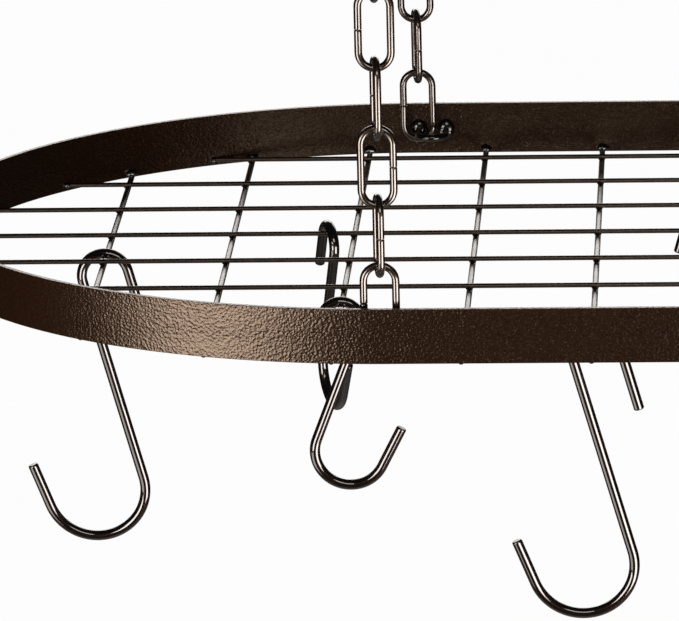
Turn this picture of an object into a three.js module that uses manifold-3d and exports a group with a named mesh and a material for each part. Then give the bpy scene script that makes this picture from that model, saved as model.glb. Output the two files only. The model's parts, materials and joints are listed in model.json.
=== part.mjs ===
// Hanging pot rack: an oval flat-bar band with a welded wire shelf, hung on four
// chains from ceiling screw hooks, with S-hooks for the pots.
// Millimetres, +X along the rack, +Y away from the viewer, +Z up.
// The origin is in the ceiling plane, over the middle of the rack.

import * as THREE from 'three';
import { mergeVertices } from 'three/addons/utils/BufferGeometryUtils.js';
import Module from 'manifold-3d';

// ---- Driving dimensions -------------------------------------------------

// Band: flat bar on edge, bent to straight sides with half-ellipse ends.
const RACK_LENGTH = 914;
const RACK_WIDTH = 457;
const END_REACH = 298;
const BAND_HEIGHT = 34;
const BAND_THICKNESS = 3.2;
const BAND_EDGE_ROUNDING = 0.5;
const BAND_END_STEPS = 30;

// Shelf grid: long wires laid on cross wires, all welded to the band. The
// margins run from the band's outer faces to the outermost wires.
const LONG_WIRE_COUNT = 8;
const LONG_WIRE_DIAMETER = 3;
const CROSS_WIRE_COUNT = 10;
const CROSS_WIRE_DIAMETER = 3.7;
const GRID_END_MARGIN = 109;
const GRID_SIDE_MARGIN = 29;
const CROSS_WIRE_RISE = 0.2;
const LONG_BEAD = { length: 5, height: 4.2, depth: 2.4, lift: 0 };
const CROSS_BEAD = { length: 8.4, height: 6, depth: 3.2, lift: 2.6 };

// Chains of open butt-jointed links, leaning in across the rack.
const LINKS_PER_CHAIN = 6;
const LINK_LENGTH = 51.4;
const LINK_WIDTH = 24;
const LINK_WIRE = 4.8;
const LINK_BUTT_GAP = 0.4;
const LINK_TURN = THREE.MathUtils.degToRad(100);
const CHAIN_LEAN = THREE.MathUtils.degToRad(3);

// Chain eyes: U-shaped rods welded to the inner face of the band.
const FRONT_EYE_POSITION = 163.7;
const REAR_EYE_POSITION = 160.3;
const EYE_RISE = 16.4;
const EYE_ROD = 4.5;
const EYE_LEG_PITCH = 18;
const EYE_LEG_LENGTH = 13;
const EYE_BEAD_WIDTH = 10.4;
const EYE_BEAD_HEIGHT = 14;
const EYE_BEAD_DEPTH = 3;
const EYE_LINK_PLAY = 0.5;

// Ceiling screw hooks with a round shoulder that seats on the ceiling.
const CEILING_ROD = 5.5;
const CEILING_SHOULDER_DIAMETER = 18;
const CEILING_SHOULDER_THICKNESS = 2.5;
const CEILING_SHANK_DROP = 4;
const CEILING_NECK_RADIUS = 6;
const CEILING_BOWL_RADIUS = 12;
const CEILING_MOUTH_ANGLE = THREE.MathUtils.degToRad(70);
const CEILING_SCREW_LENGTH = 32;
const CEILING_SCREW_POINT = 6;

// S-hooks: one rod size, two lengths. Two of each half's hooks lean a little
// off their balance, as friction on the wire lets them.
const POT_HOOK_ROD = 6.7;
const POT_HOOK_TIP_OPENING = THREE.MathUtils.degToRad(6);
const SIDE_HOOK_TWIST = THREE.MathUtils.degToRad(21);
const LARGE_HOOK = { top: 14.8, bottom: 31.5, shank: 134.5, free: 48, tip: 29.5 };
const SMALL_HOOK = { top: 11.9, bottom: 21.8, shank: 77.6, free: 25, tip: 28 };
const END_HOOK_LEAN = THREE.MathUtils.degToRad(1.2);
const FRONT_HOOK_LEAN = THREE.MathUtils.degToRad(0.8);


// Clearance between pieces that touch or are welded together.
const SEAT = 0.3;

// Facets round each rod and along each bend.
const WIRE_SIDES = 8;
const LINK_SIDES = 7;
const HOOK_SIDES = 8;
const SHOULDER_SIDES = 12;
const LINK_BEND_STEPS = 6;
const HOOK_BEND_STEPS = 11;
const NECK_STEPS = 3;
const BOWL_STEPS = 13;
const BEAD_SIDES = 8;
const BEAD_RINGS = 4;

// ---- Worked-out places --------------------------------------------------

const linkReach = LINK_LENGTH / 2 - LINK_WIRE;
const linkPitch = 2 * linkReach - SEAT;
const lowestLinkRise = LINK_LENGTH / 2 - LINK_WIRE / 2
  - (LINK_WIRE / 2 + EYE_ROD / 2 + SEAT) / Math.cos(CHAIN_LEAN);
const topLinkDrop = linkReach - CEILING_ROD / 2 - SEAT;
const chainLength = lowestLinkRise + (LINKS_PER_CHAIN - 1) * linkPitch + topLinkDrop;

const neckAngle = Math.acos(CEILING_NECK_RADIUS / (CEILING_NECK_RADIUS + CEILING_BOWL_RADIUS));
const neckTop = -CEILING_SHOULDER_THICKNESS - CEILING_SHANK_DROP;
const bowlCentre = neckTop - (CEILING_NECK_RADIUS + CEILING_BOWL_RADIUS) * Math.sin(neckAngle);
const bowlBottom = bowlCentre - CEILING_BOWL_RADIUS;

const bandBottom = bowlBottom - chainLength * Math.cos(CHAIN_LEAN) - EYE_RISE;
const crossWireLevel = bandBottom + CROSS_WIRE_RISE;
const longWireLevel = crossWireLevel + CROSS_WIRE_DIAMETER / 2 + SEAT + LONG_WIRE_DIAMETER / 2;
const eyeLevel = bandBottom + EYE_RISE;
const eyeFace = RACK_WIDTH / 2 - BAND_THICKNESS;
const hangingLine = eyeFace - EYE_BEAD_DEPTH - EYE_LINK_PLAY - LINK_WIRE / 2;
const ceilingHookOffset = hangingLine - chainLength * Math.sin(CHAIN_LEAN);

// Long wires count from the rear and cross wires from the left, both from 0.
const longWirePitch = (RACK_WIDTH - 2 * GRID_SIDE_MARGIN) / (LONG_WIRE_COUNT - 1);
const crossWirePitch = (RACK_LENGTH - 2 * GRID_END_MARGIN) / (CROSS_WIRE_COUNT - 1);
const longWirePlace = (index) => ((LONG_WIRE_COUNT - 1) / 2 - index) * longWirePitch;
const crossWirePlace = (index) => (index - (CROSS_WIRE_COUNT - 1) / 2) * crossWirePitch;

// ---- Finishes -----------------------------------------------------------

const finish = (color, roughness, metalness) =>
  new THREE.MeshStandardMaterial({ color, roughness, metalness });

const bandFinish = () => finish(0x2e1d12, 0.55, 0.5);
const wireFinish = () => finish(0x5a4a3c, 0.4, 0.8);
const chainFinish = () => finish(0x4a382c, 0.25, 0.9);
const hookFinish = () => finish(0x2a201b, 0.15, 0.95);

// ---- Shape helpers ------------------------------------------------------

const wasm = await Module();
wasm.setup();

function toSolid(geometry) {
  const bare = geometry.clone();
  bare.deleteAttribute('normal');
  bare.deleteAttribute('uv');
  const merged = mergeVertices(bare, 1e-4);
  return new wasm.Manifold(new wasm.Mesh({
    numProp: 3,
    vertProperties: new Float32Array(merged.attributes.position.array),
    triVerts: new Uint32Array(merged.index.array),
  }));
}

function toGeometry(solid) {
  const mesh = solid.getMesh();
  const geometry = new THREE.BufferGeometry();
  geometry.setAttribute('position', new THREE.BufferAttribute(mesh.vertProperties, 3));
  geometry.setIndex(new THREE.BufferAttribute(mesh.triVerts, 1));
  geometry.computeVertexNormals();
  return geometry;
}

// A rod's route through straights and arcs in the XZ plane, with one station at
// each end of a straight and equal stations round each arc.
class RodPath extends THREE.Curve {
  constructor(x, z, heading) {
    super();
    this.stations = [{ x, z, heading }];
  }

  // Heading 0 runs along +X and a quarter turn runs along +Z.
  straight(length) {
    const last = this.stations.at(-1);
    this.stations.push({
      x: last.x + length * Math.cos(last.heading),
      z: last.z + length * Math.sin(last.heading),
      heading: last.heading,
    });
    return this;
  }

  // A positive turn bends to the left of the heading.
  bend(radius, turn, steps) {
    const start = this.stations.at(-1);
    const side = Math.sign(turn);
    const centreX = start.x - side * radius * Math.sin(start.heading);
    const centreZ = start.z + side * radius * Math.cos(start.heading);
    for (let step = 1; step <= steps; step += 1) {
      const heading = start.heading + (turn * step) / steps;
      this.stations.push({
        x: centreX + side * radius * Math.sin(heading),
        z: centreZ - side * radius * Math.cos(heading),
        heading,
      });
    }
    return this;
  }

  // The point where a uniform rod on this route would balance.
  balancePoint() {
    let length = 0;
    let x = 0;
    let z = 0;
    for (let index = 1; index < this.stations.length; index += 1) {
      const from = this.stations[index - 1];
      const to = this.stations[index];
      const part = Math.hypot(to.x - from.x, to.z - from.z);
      length += part;
      x += (part * (from.x + to.x)) / 2;
      z += (part * (from.z + to.z)) / 2;
    }
    return { x: x / length, z: z / length };
  }

  // The two stations round a parameter, and how far it is between them.
  around(t) {
    const place = t * (this.stations.length - 1);
    const index = Math.min(Math.floor(place), this.stations.length - 2);
    return [this.stations[index], this.stations[index + 1], place - index];
  }

  getPoint(t, target = new THREE.Vector3()) {
    const [from, to, share] = this.around(t);
    return target.set(
      THREE.MathUtils.lerp(from.x, to.x, share),
      0,
      THREE.MathUtils.lerp(from.z, to.z, share),
    );
  }

  getTangent(t, target = new THREE.Vector3()) {
    const [from, to, share] = this.around(t);
    const heading = THREE.MathUtils.lerp(from.heading, to.heading, share);
    return target.set(Math.cos(heading), 0, Math.sin(heading));
  }

  // Equal steps along the extrusion land on the stations.
  getUtoTmapping(u) {
    return u;
  }
}

function roundSection(diameter, sides) {
  const points = [];
  for (let side = 0; side < sides; side += 1) {
    const angle = (2 * Math.PI * side) / sides;
    points.push(new THREE.Vector2(Math.cos(angle), Math.sin(angle)).multiplyScalar(diameter / 2));
  }
  return new THREE.Shape(points);
}

function rodAlong(path, diameter, sides) {
  return new THREE.ExtrudeGeometry(roundSection(diameter, sides), {
    steps: path.stations.length - 1,
    extrudePath: path,
  });
}

// A weld bead: an ellipsoid centred where the pieces meet.
function bead(width, depth, height) {
  return new THREE.SphereGeometry(1, BEAD_SIDES, BEAD_RINGS)
    .rotateX(Math.PI / 2)
    .scale(width / 2, depth, height / 2);
}

// A point of the band's outer line, moved inwards square to the band.
// The angle runs counter-clockwise from +X.
function ovalPoint(angle, inset) {
  const halfStraight = RACK_LENGTH / 2 - END_REACH;
  const side = Math.cos(angle) < 0 ? -1 : 1;
  const end = new THREE.Vector2(END_REACH * Math.cos(angle), (RACK_WIDTH / 2) * Math.sin(angle));
  const outward = new THREE.Vector2(end.x / END_REACH ** 2, end.y / (RACK_WIDTH / 2) ** 2);
  end.addScaledVector(outward.normalize(), -inset);
  return end.add(new THREE.Vector2(side * halfStraight, 0));
}

function ovalOutline(inset) {
  const points = [];
  for (const start of [-Math.PI / 2, Math.PI / 2]) {
    for (let step = 0; step <= BAND_END_STEPS; step += 1) {
      // Nudged off the quarter points, so that each end keeps to its own side.
      const share = THREE.MathUtils.clamp(step / BAND_END_STEPS, 1e-6, 1 - 1e-6);
      points.push(ovalPoint(start + Math.PI * share, inset));
    }
  }
  return points;
}

// The room inside the band, which the wires and beads are trimmed to.
function roomInsideBand() {
  const shape = new THREE.Shape(ovalOutline(BAND_THICKNESS + SEAT));
  const room = new THREE.ExtrudeGeometry(shape, { depth: 3 * BAND_HEIGHT, bevelEnabled: false });
  return toSolid(room.translate(0, 0, bandBottom - BAND_HEIGHT));
}

const bandRoom = roomInsideBand();

// Half the clear width of the band at a distance off its middle, and the
// direction of its inner face there, found on the trimmed outline.
function innerFaceAt(distance, along) {
  const outline = ovalOutline(BAND_THICKNESS);
  const across = along === 'x' ? 'y' : 'x';
  for (let index = 1; index < outline.length; index += 1) {
    const from = outline[index - 1];
    const to = outline[index];
    const crosses = (from[across] - distance) * (to[across] - distance) <= 0;
    if (crosses && from[along] > 0 && to[along] > 0) {
      const share = (distance - from[across]) / (to[across] - from[across]);
      return {
        reach: THREE.MathUtils.lerp(from[along], to[along], share),
        direction: Math.atan2(to.y - from.y, to.x - from.x),
      };
    }
  }
  throw new Error(`no inner face at ${distance}`);
}

// ---- Pieces -------------------------------------------------------------

function bandGeometry() {
  const shape = new THREE.Shape(ovalOutline(BAND_EDGE_ROUNDING));
  shape.holes.push(new THREE.Path(ovalOutline(BAND_THICKNESS - BAND_EDGE_ROUNDING)));
  return new THREE.ExtrudeGeometry(shape, {
    depth: BAND_HEIGHT - 2 * BAND_EDGE_ROUNDING,
    bevelThickness: BAND_EDGE_ROUNDING,
    bevelSize: BAND_EDGE_ROUNDING,
    bevelSegments: 1,
  }).translate(0, 0, BAND_EDGE_ROUNDING);
}

// A straight grid wire with a weld bead at each end, trimmed to the band.
function gridWireGeometry(place, along, diameter, level, endBead) {
  const face = innerFaceAt(Math.abs(place), along);
  const rod = new THREE.CylinderGeometry(diameter / 2, diameter / 2, 2 * face.reach + diameter, WIRE_SIDES);
  if (along === 'x') {
    rod.rotateZ(Math.PI / 2);
  }
  const middle = along === 'x' ? [0, place, level] : [place, 0, level];
  let solid = toSolid(rod.translate(...middle));
  for (const end of [-1, 1]) {
    const turn = face.direction * end * Math.sign(place || 1);
    const reach = end * face.reach;
    const foot = along === 'x' ? [reach, place] : [place, reach];
    const weld = bead(endBead.length, endBead.depth, endBead.height).rotateZ(turn);
    solid = solid.add(toSolid(weld.translate(...foot, level + endBead.lift)));
  }
  return toGeometry(solid.intersect(bandRoom));
}

// One link: a rod bent to a loop whose two cut ends nearly meet on one leg.
function linkPath() {
  const bendRadius = (LINK_WIDTH - LINK_WIRE) / 2;
  const leg = LINK_LENGTH - LINK_WIDTH;
  const halfLeg = (leg - LINK_BUTT_GAP) / 2;
  return new RodPath(-bendRadius, LINK_BUTT_GAP / 2, Math.PI / 2)
    .straight(halfLeg)
    .bend(bendRadius, -Math.PI, LINK_BEND_STEPS)
    .straight(leg)
    .bend(bendRadius, -Math.PI, LINK_BEND_STEPS)
    .straight(halfLeg);
}

// A U-shaped rod in the level plane with a weld bead round each foot, trimmed
// to the band. In its own frame the band's face is at Y 0, the first leg, which
// takes the chain, runs along -Y and the other leg stands beside it at +X.
function eyeGeometry(placement) {
  const leg = EYE_LEG_LENGTH + EYE_ROD / 2;
  const path = new RodPath(0, EYE_ROD / 2, -Math.PI / 2)
    .straight(leg)
    .bend(EYE_LEG_PITCH / 2, Math.PI, LINK_BEND_STEPS)
    .straight(leg);
  const rod = rodAlong(path, EYE_ROD, WIRE_SIDES).rotateX(-Math.PI / 2);
  let solid = toSolid(rod.applyMatrix4(placement));
  for (const foot of [0, EYE_LEG_PITCH]) {
    const weld = bead(EYE_BEAD_WIDTH, EYE_BEAD_DEPTH, EYE_BEAD_HEIGHT).translate(foot, 0, 0);
    solid = solid.add(toSolid(weld.applyMatrix4(placement)));
  }
  return toGeometry(solid.intersect(bandRoom));
}

// The screw, shoulder and shank are turned about Z, and the bowl is bent in the
// XZ plane with its lowest point under the screw.
function ceilingHookGeometry() {
  const rod = CEILING_ROD / 2;
  const shoulder = CEILING_SHOULDER_DIAMETER / 2;
  const profile = [
    [0, CEILING_SCREW_LENGTH],
    [rod, CEILING_SCREW_LENGTH - CEILING_SCREW_POINT],
    [rod, 0],
    [shoulder, 0],
    [shoulder, -CEILING_SHOULDER_THICKNESS],
    [rod, -CEILING_SHOULDER_THICKNESS],
    [rod, -CEILING_SHOULDER_THICKNESS - CEILING_SHANK_DROP / 2],
    [0, -CEILING_SHOULDER_THICKNESS - CEILING_SHANK_DROP / 2],
  ];
  const turned = new THREE.LatheGeometry(
    profile.reverse().map(([radius, height]) => new THREE.Vector2(radius, height)),
    SHOULDER_SIDES,
  ).rotateX(Math.PI / 2);
  const sweep = neckAngle + 1.5 * Math.PI - CEILING_MOUTH_ANGLE;
  const path = new RodPath(0, -CEILING_SHOULDER_THICKNESS / 2, -Math.PI / 2)
    .straight(CEILING_SHANK_DROP + CEILING_SHOULDER_THICKNESS / 2)
    .bend(CEILING_NECK_RADIUS, neckAngle, NECK_STEPS)
    .bend(CEILING_BOWL_RADIUS, -sweep, BOWL_STEPS);
  return toGeometry(toSolid(turned).add(toSolid(rodAlong(path, CEILING_ROD, WIRE_SIDES))));
}

// An S-hook hanging at rest on a wire whose centre is at the origin. The top
// bend opens towards +X of the shank and the pot bend towards -X.
function potHookGeometry(hook, wireDiameter, lean) {
  const path = new RodPath(hook.top, -hook.free, Math.PI / 2)
    .straight(hook.free)
    .bend(hook.top, Math.PI, HOOK_BEND_STEPS)
    .straight(hook.shank)
    .bend(hook.bottom, -Math.PI + POT_HOOK_TIP_OPENING, HOOK_BEND_STEPS)
    .straight(hook.tip);
  const balance = path.balancePoint();
  const tilt = Math.atan2(balance.x, -balance.z);
  const bendInside = hook.top - POT_HOOK_ROD / 2;
  return rodAlong(path, POT_HOOK_ROD, HOOK_SIDES)
    .rotateY(tilt + lean)
    .translate(0, 0, wireDiameter / 2 + SEAT - bendInside);
}

// ---- Assembly -----------------------------------------------------------

const rack = new THREE.Group();

function addPiece(parent, name, geometry, material) {
  const mesh = new THREE.Mesh(geometry, material);
  mesh.name = name;
  parent.add(mesh);
  return mesh;
}

function addBandAndShelf() {
  addPiece(rack, 'oval_band', bandGeometry(), bandFinish()).position.z = bandBottom;
  for (let index = 0; index < LONG_WIRE_COUNT; index += 1) {
    const place = longWirePlace(index);
    const wire = gridWireGeometry(place, 'x', LONG_WIRE_DIAMETER, longWireLevel, LONG_BEAD);
    addPiece(rack, `long_wire_${index + 1}`, wire, wireFinish());
  }
  for (let index = 0; index < CROSS_WIRE_COUNT; index += 1) {
    const place = crossWirePlace(index);
    const wire = gridWireGeometry(place, 'y', CROSS_WIRE_DIAMETER, crossWireLevel, CROSS_BEAD);
    addPiece(rack, `cross_wire_${index + 1}`, wire, wireFinish());
  }
}

// A chain with its eye on the band and its hook in the ceiling, on the side of
// the rack that x and y give.
function addHanger(name, x, y) {
  const hanger = new THREE.Group();
  const endSide = Math.sign(x);
  const rackSide = Math.sign(y);
  hanger.position.set(x, 0, 0);
  rack.add(hanger);

  const hook = addPiece(hanger, `ceiling_hook_${name}`, ceilingHookGeometry(), chainFinish());
  hook.position.y = rackSide * ceilingHookOffset;

  const chain = new THREE.Group();
  chain.position.set(0, rackSide * hangingLine, eyeLevel);
  chain.rotation.x = rackSide * CHAIN_LEAN;
  hanger.add(chain);
  for (let index = 0; index < LINKS_PER_CHAIN; index += 1) {
    const link = rodAlong(linkPath(), LINK_WIRE, LINK_SIDES);
    const mesh = addPiece(chain, `link_${name}_${index + 1}`, link, chainFinish());
    mesh.position.z = lowestLinkRise + index * linkPitch;
    mesh.rotation.z = (index % 2) * LINK_TURN + (Math.floor(index / 2) % 2) * Math.PI;
  }

  // The eye's other leg is on the side of the rack's middle.
  const turn = new THREE.Euler(0, endSide * rackSide > 0 ? Math.PI : 0, rackSide < 0 ? Math.PI : 0);
  const placement = new THREE.Matrix4().makeRotationFromEuler(turn);
  placement.setPosition(x, rackSide * eyeFace, eyeLevel);
  addPiece(rack, `chain_eye_${name}`, eyeGeometry(placement), chainFinish());
}

function addPotHook(name, hook, wireDiameter, lean, position, turn) {
  const mesh = addPiece(rack, name, potHookGeometry(hook, wireDiameter, lean), hookFinish());
  mesh.position.copy(position);
  mesh.rotation.z = turn;
}

// Each hook's place is counted in wires: a whole number is the wire it hangs on
// and the other number is how far it has slid between the wires it lies along.
function addPotHooks() {
  const place = (cross, long, level) =>
    new THREE.Vector3(crossWirePlace(cross), longWirePlace(long), level);
  const endSpot = place(0, 3.8, crossWireLevel);
  const middleSpot = place(4, 6.34, crossWireLevel);
  const frontSpot = place(2, 5.64, crossWireLevel);
  const sideSpot = place(1.79, 3, longWireLevel);
  const sideTurn = Math.PI / 2 + SIDE_HOOK_TWIST;

  // The right half repeats the left, turned half round about the up axis.
  const up = new THREE.Vector3(0, 0, 1);
  for (const [half, turn] of [['left', 0], ['right', Math.PI]]) {
    const add = (name, hook, wire, lean, spot, hookTurn) =>
      addPotHook(name, hook, wire, lean, spot.clone().applyAxisAngle(up, turn), turn + hookTurn);
    add(`large_hook_${half}_end`, LARGE_HOOK, CROSS_WIRE_DIAMETER, END_HOOK_LEAN, endSpot, 0);
    add(`large_hook_${half}_middle`, LARGE_HOOK, CROSS_WIRE_DIAMETER, 0, middleSpot, 0);
    add(`small_hook_${half}_front`, SMALL_HOOK, CROSS_WIRE_DIAMETER, FRONT_HOOK_LEAN, frontSpot, Math.PI);
    add(`small_hook_${half}_side`, SMALL_HOOK, LONG_WIRE_DIAMETER, 0, sideSpot, sideTurn);
  }
}

addBandAndShelf();
addHanger('front_left', -FRONT_EYE_POSITION, -1);
addHanger('front_right', FRONT_EYE_POSITION, -1);
addHanger('rear_left', -REAR_EYE_POSITION, 1);
addHanger('rear_right', REAR_EYE_POSITION, 1);
addPotHooks();

export default rack;
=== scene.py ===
"""Looks for a hanging pot rack: the oval band, the wire shelf, the chains and the hooks."""

import json
import math

import bmesh
import bpy
from bpy.props import FloatProperty, FloatVectorProperty, IntProperty, PointerProperty
from mathutils import Euler, Matrix, Vector


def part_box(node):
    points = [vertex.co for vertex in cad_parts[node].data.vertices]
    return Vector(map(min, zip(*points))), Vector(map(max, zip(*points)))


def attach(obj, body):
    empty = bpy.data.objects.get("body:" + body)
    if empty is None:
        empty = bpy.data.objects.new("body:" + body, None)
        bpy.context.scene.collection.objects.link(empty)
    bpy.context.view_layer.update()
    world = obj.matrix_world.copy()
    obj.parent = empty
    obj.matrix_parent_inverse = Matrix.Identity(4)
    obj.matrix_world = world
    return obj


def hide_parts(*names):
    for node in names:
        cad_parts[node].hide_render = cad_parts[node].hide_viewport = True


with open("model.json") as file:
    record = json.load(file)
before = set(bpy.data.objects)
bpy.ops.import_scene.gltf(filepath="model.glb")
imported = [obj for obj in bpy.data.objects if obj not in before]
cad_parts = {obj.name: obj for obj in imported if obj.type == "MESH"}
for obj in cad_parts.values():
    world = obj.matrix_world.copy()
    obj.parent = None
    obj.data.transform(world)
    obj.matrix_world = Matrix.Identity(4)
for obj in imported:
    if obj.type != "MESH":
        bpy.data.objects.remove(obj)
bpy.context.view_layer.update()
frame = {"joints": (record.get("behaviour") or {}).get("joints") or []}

bl_info = {
    "name": "Hanging Pot Rack",
    "version": (1, 0, 0),
    "blender": (4, 5, 0),
    "location": "View3D > Sidebar > Pot Rack",
    "description": "Dresses the hanging pot rack's frame with finished pieces",
    "category": "Object",
}

BAND_LOW, BAND_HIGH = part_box("oval_band")
SIDES = ("front_left", "front_right", "rear_left", "rear_right")
MILLIMETRE = 0.001
LENGTHWISE, CROSSWISE = 0, 1  # the parts of a point along the rack and across it
UP = math.pi / 2  # headings of a bent rod
DOWN = -math.pi / 2

# Small trim, in metres.
END_LOOP = 0.0013  # from a rod's cut end to the loop that keeps its shading straight
LINK_ROUNDING = 0.0004  # of the cut ends
CEILING_HOOK_ROUNDING = 0.0007  # of the cut end and the shoulder's edges
POT_HOOK_ROUNDING = 0.0009  # of the cut ends
SHOULDER_INSET = 0.0012  # from a shoulder's edge to the loop on its underside
THREAD_START = 0.004  # from the ceiling to where the thread starts
THREAD_ROOT = 0.0002  # how deep the thread stands in the screw's core
WELD_SINK = 0.0006  # how far a weld goes on behind the band's face
WIRE_WELD_RIPPLE = 0.0018  # how strongly a wire's welds swell
EYE_WELD_RIPPLE = 0.0004  # how strongly an eye's welds swell
RIPPLE_SIZE = 0.0045  # how large the swellings are
CROSSING_MARGIN = 0.002  # from two wires' crossing to the band, at least

# Shares, counts and angles.
FILLET_SHAPE = (1.6, 0.9, 0.6)  # a fillet's width, depth and height, in long wire diameters
THREAD_FOOT = 0.3  # half the foot of the thread, in thread pitches
SCREW_TIP = 0.08  # the width of a screw's tip, in widths of its core
BAND_SIDES = 256
OUTLINE_STEPS = 720
WIRE_SIDES = 20
ROD_SIDES = 24
POT_HOOK_SIDES = 28
EDGE_DEGREES = 40.0  # an edge sharper than this counts as sharp


# ---- Sizes and colours a user would change ------------------------------


def length(name, description, default):
    """A length property in metres, written in millimetres."""
    return FloatProperty(
        name=name,
        description=description,
        default=default * MILLIMETRE,
        min=0.0,
        subtype="DISTANCE",
        unit="LENGTH",
        precision=5,
    )


def colour(name, description, default):
    """A plain colour property."""
    return FloatVectorProperty(
        name=name,
        description=description,
        default=default,
        min=0.0,
        max=1.0,
        size=3,
        subtype="COLOR",
    )


def angle(name, description, default):
    """An angle property, written in degrees."""
    return FloatProperty(
        name=name,
        description=description,
        default=math.radians(default),
        subtype="ANGLE",
        unit="ROTATION",
    )


class RackBandSizes(bpy.types.PropertyGroup):
    """The oval band."""

    length: length("Length", "Overall length", (BAND_HIGH.x - BAND_LOW.x) / MILLIMETRE)
    width: length("Width", "Overall width", (BAND_HIGH.y - BAND_LOW.y) / MILLIMETRE)
    end_reach: length("End reach", "Length of each half-ellipse end", 298.0)
    height: length("Height", "Height of the bar", (BAND_HIGH.z - BAND_LOW.z) / MILLIMETRE)
    thickness: length("Thickness", "Thickness of the bar", 3.2)
    edge: length("Edge rounding", "Radius along the bar's edges", 0.4)


class RackGridSizes(bpy.types.PropertyGroup):
    """The welded wire shelf."""

    long_count: IntProperty(name="Long wires", description="Wires along the rack", default=8)
    cross_count: IntProperty(name="Cross wires", description="Wires across the rack", default=10)
    long_wire: length("Long wire", "Diameter of the wires along the rack", 3.0)
    cross_wire: length("Cross wire", "Diameter of the wires across the rack", 3.7)
    end_margin: length("End margin", "From the band's end to the first cross wire", 109.0)
    side_margin: length("Side margin", "From the band's side to the first long wire", 29.0)
    rise: length("Rise", "From the band's bottom edge to the cross wires' centre", 0.2)
    seat: length("Seat", "Gap between a long wire and a cross wire", 0.3)
    long_bead: length("Long wire weld", "Length along the band of a long wire's end weld", 5.0)
    long_bead_height: length("Long weld height", "Height of a long wire's end weld", 4.2)
    long_bead_depth: length("Long weld depth", "How far that weld stands off the band", 2.4)
    cross_bead: length("Cross wire weld", "Length along the band of a cross wire's end weld", 8.4)
    cross_bead_height: length("Cross weld height", "Height of a cross wire's end weld", 6.0)
    cross_bead_depth: length("Cross weld depth", "How far that weld stands off the band", 3.2)
    cross_bead_lift: length("Cross weld lift", "From a cross wire's centre to its weld's", 2.6)


class RackChainSizes(bpy.types.PropertyGroup):
    """The chains and the eyes that they hang the band by."""

    links: IntProperty(name="Links", description="Links in each chain", default=6)
    link_length: length("Link length", "Outer length of a link", 51.2)
    link_width: length("Link width", "Outer width of a link", 23.8)
    link_wire: length("Link wire", "Diameter of a link's rod", 4.6)
    butt_gap: length("Butt gap", "Gap between a link's cut ends", 0.12)
    lean: angle("Lean", "How far the chains lean in", 3.0)
    link_turn: angle("Link turn", "Turn from one link to the next", 100.0)
    eye_rod: length("Eye rod", "Diameter of an eye's rod", 4.5)
    eye_pitch: length("Eye pitch", "Distance between an eye's legs", 18.0)
    eye_leg: length("Eye leg", "Length of an eye's legs", 13.0)
    eye_rise: length("Eye rise", "From the band's bottom edge to the eyes", 16.4)
    front_eye: length("Front eyes", "From the rack's middle to the front eyes' first legs", 163.7)
    rear_eye: length("Rear eyes", "From the rack's middle to the rear eyes' first legs", 160.3)
    eye_bead: length("Eye bead", "Width of the weld round an eye's foot", 11.2)
    eye_bead_height: length("Eye bead height", "Height of the weld round an eye's foot", 14.4)
    eye_bead_depth: length("Eye bead depth", "How far that weld stands off the band", 3.4)


class RackCeilingHookSizes(bpy.types.PropertyGroup):
    """The screw hooks in the ceiling."""

    rod: length("Rod", "Diameter of the rod", 5.5)
    shoulder: length("Shoulder", "Diameter of the round shoulder", 18.0)
    shoulder_thickness: length("Shoulder thickness", "Thickness of the shoulder", 2.5)
    shank: length("Shank", "Straight shank below the shoulder", 4.0)
    neck: length("Neck radius", "Radius of the neck's bend", 6.0)
    bowl: length("Bowl radius", "Radius of the bowl's bend", 12.0)
    mouth: angle("Mouth", "Angle that the bowl leaves open", 70.0)
    screw: length("Screw", "Length of the screw", 32.0)
    point: length("Point", "Length of the screw's point", 6.0)
    thread_pitch: length("Thread pitch", "Distance between the threads", 2.4)
    thread_depth: length("Thread depth", "Depth of the threads", 0.7)


class RackPotHookSizes(bpy.types.PropertyGroup):
    """The S-hooks."""

    rod: length("Rod", "Diameter of the rod", 6.42)
    tip_opening: angle("Tip opening", "How far the pot end opens", 6.0)
    side_twist: angle("Side twist", "Turn of the side hooks about their wire", 21.0)
    end_lean: angle("End lean", "How far the end hooks lean off their balance", 1.2)
    front_lean: angle("Front lean", "How far the front hooks lean off their balance", 0.8)
    seat: length("Seat", "Gap between a hook and its wire", 0.44)
    large_top: length("Large top radius", "Radius of a large hook's top bend", 14.8)
    large_bottom: length("Large bottom radius", "Radius of a large hook's pot bend", 31.5)
    large_shank: length("Large shank", "A large hook's shank", 134.5)
    large_free: length("Large free end", "A large hook's free end on the wire", 48.0)
    large_tip: length("Large tip", "A large hook's straight tip", 29.5)
    small_top: length("Small top radius", "Radius of a small hook's top bend", 11.9)
    small_bottom: length("Small bottom radius", "Radius of a small hook's pot bend", 21.8)
    small_shank: length("Small shank", "A small hook's shank", 77.6)
    small_free: length("Small free end", "A small hook's free end on the wire", 25.0)
    small_tip: length("Small tip", "A small hook's straight tip", 28.0)


class RackColours(bpy.types.PropertyGroup):
    """The finishes' colours."""

    coat: colour("Coat", "The band's pebbled coat", (0.020, 0.0062, 0.0010))
    # Painted shade: the coat's colour in its pebbles' hollows, darker to stand in for the shade
    # there.
    coat_low: colour("Coat hollows", "The coat between its pebbles", (0.009, 0.0025, 0.0003))
    coat_sheen: colour("Coat sheen", "Tint of the band's sheen", (1.0, 0.75, 0.57))
    wire: colour("Wire", "Brown under the shelf wires' lacquer", (0.050, 0.030, 0.017))
    chain: colour("Chain", "Brown under the chain's lacquer", (0.075, 0.045, 0.026))
    hook: colour("Hook", "Brown under the pot hooks' lacquer", (0.026, 0.014, 0.008))
    weld: colour("Weld", "Brown under the welds' lacquer", (0.012, 0.008, 0.006))
    floor: colour("Floor", "The studio floor", (0.80, 0.80, 0.80))


# ---- Selecting and shaping ----------------------------------------------


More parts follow.
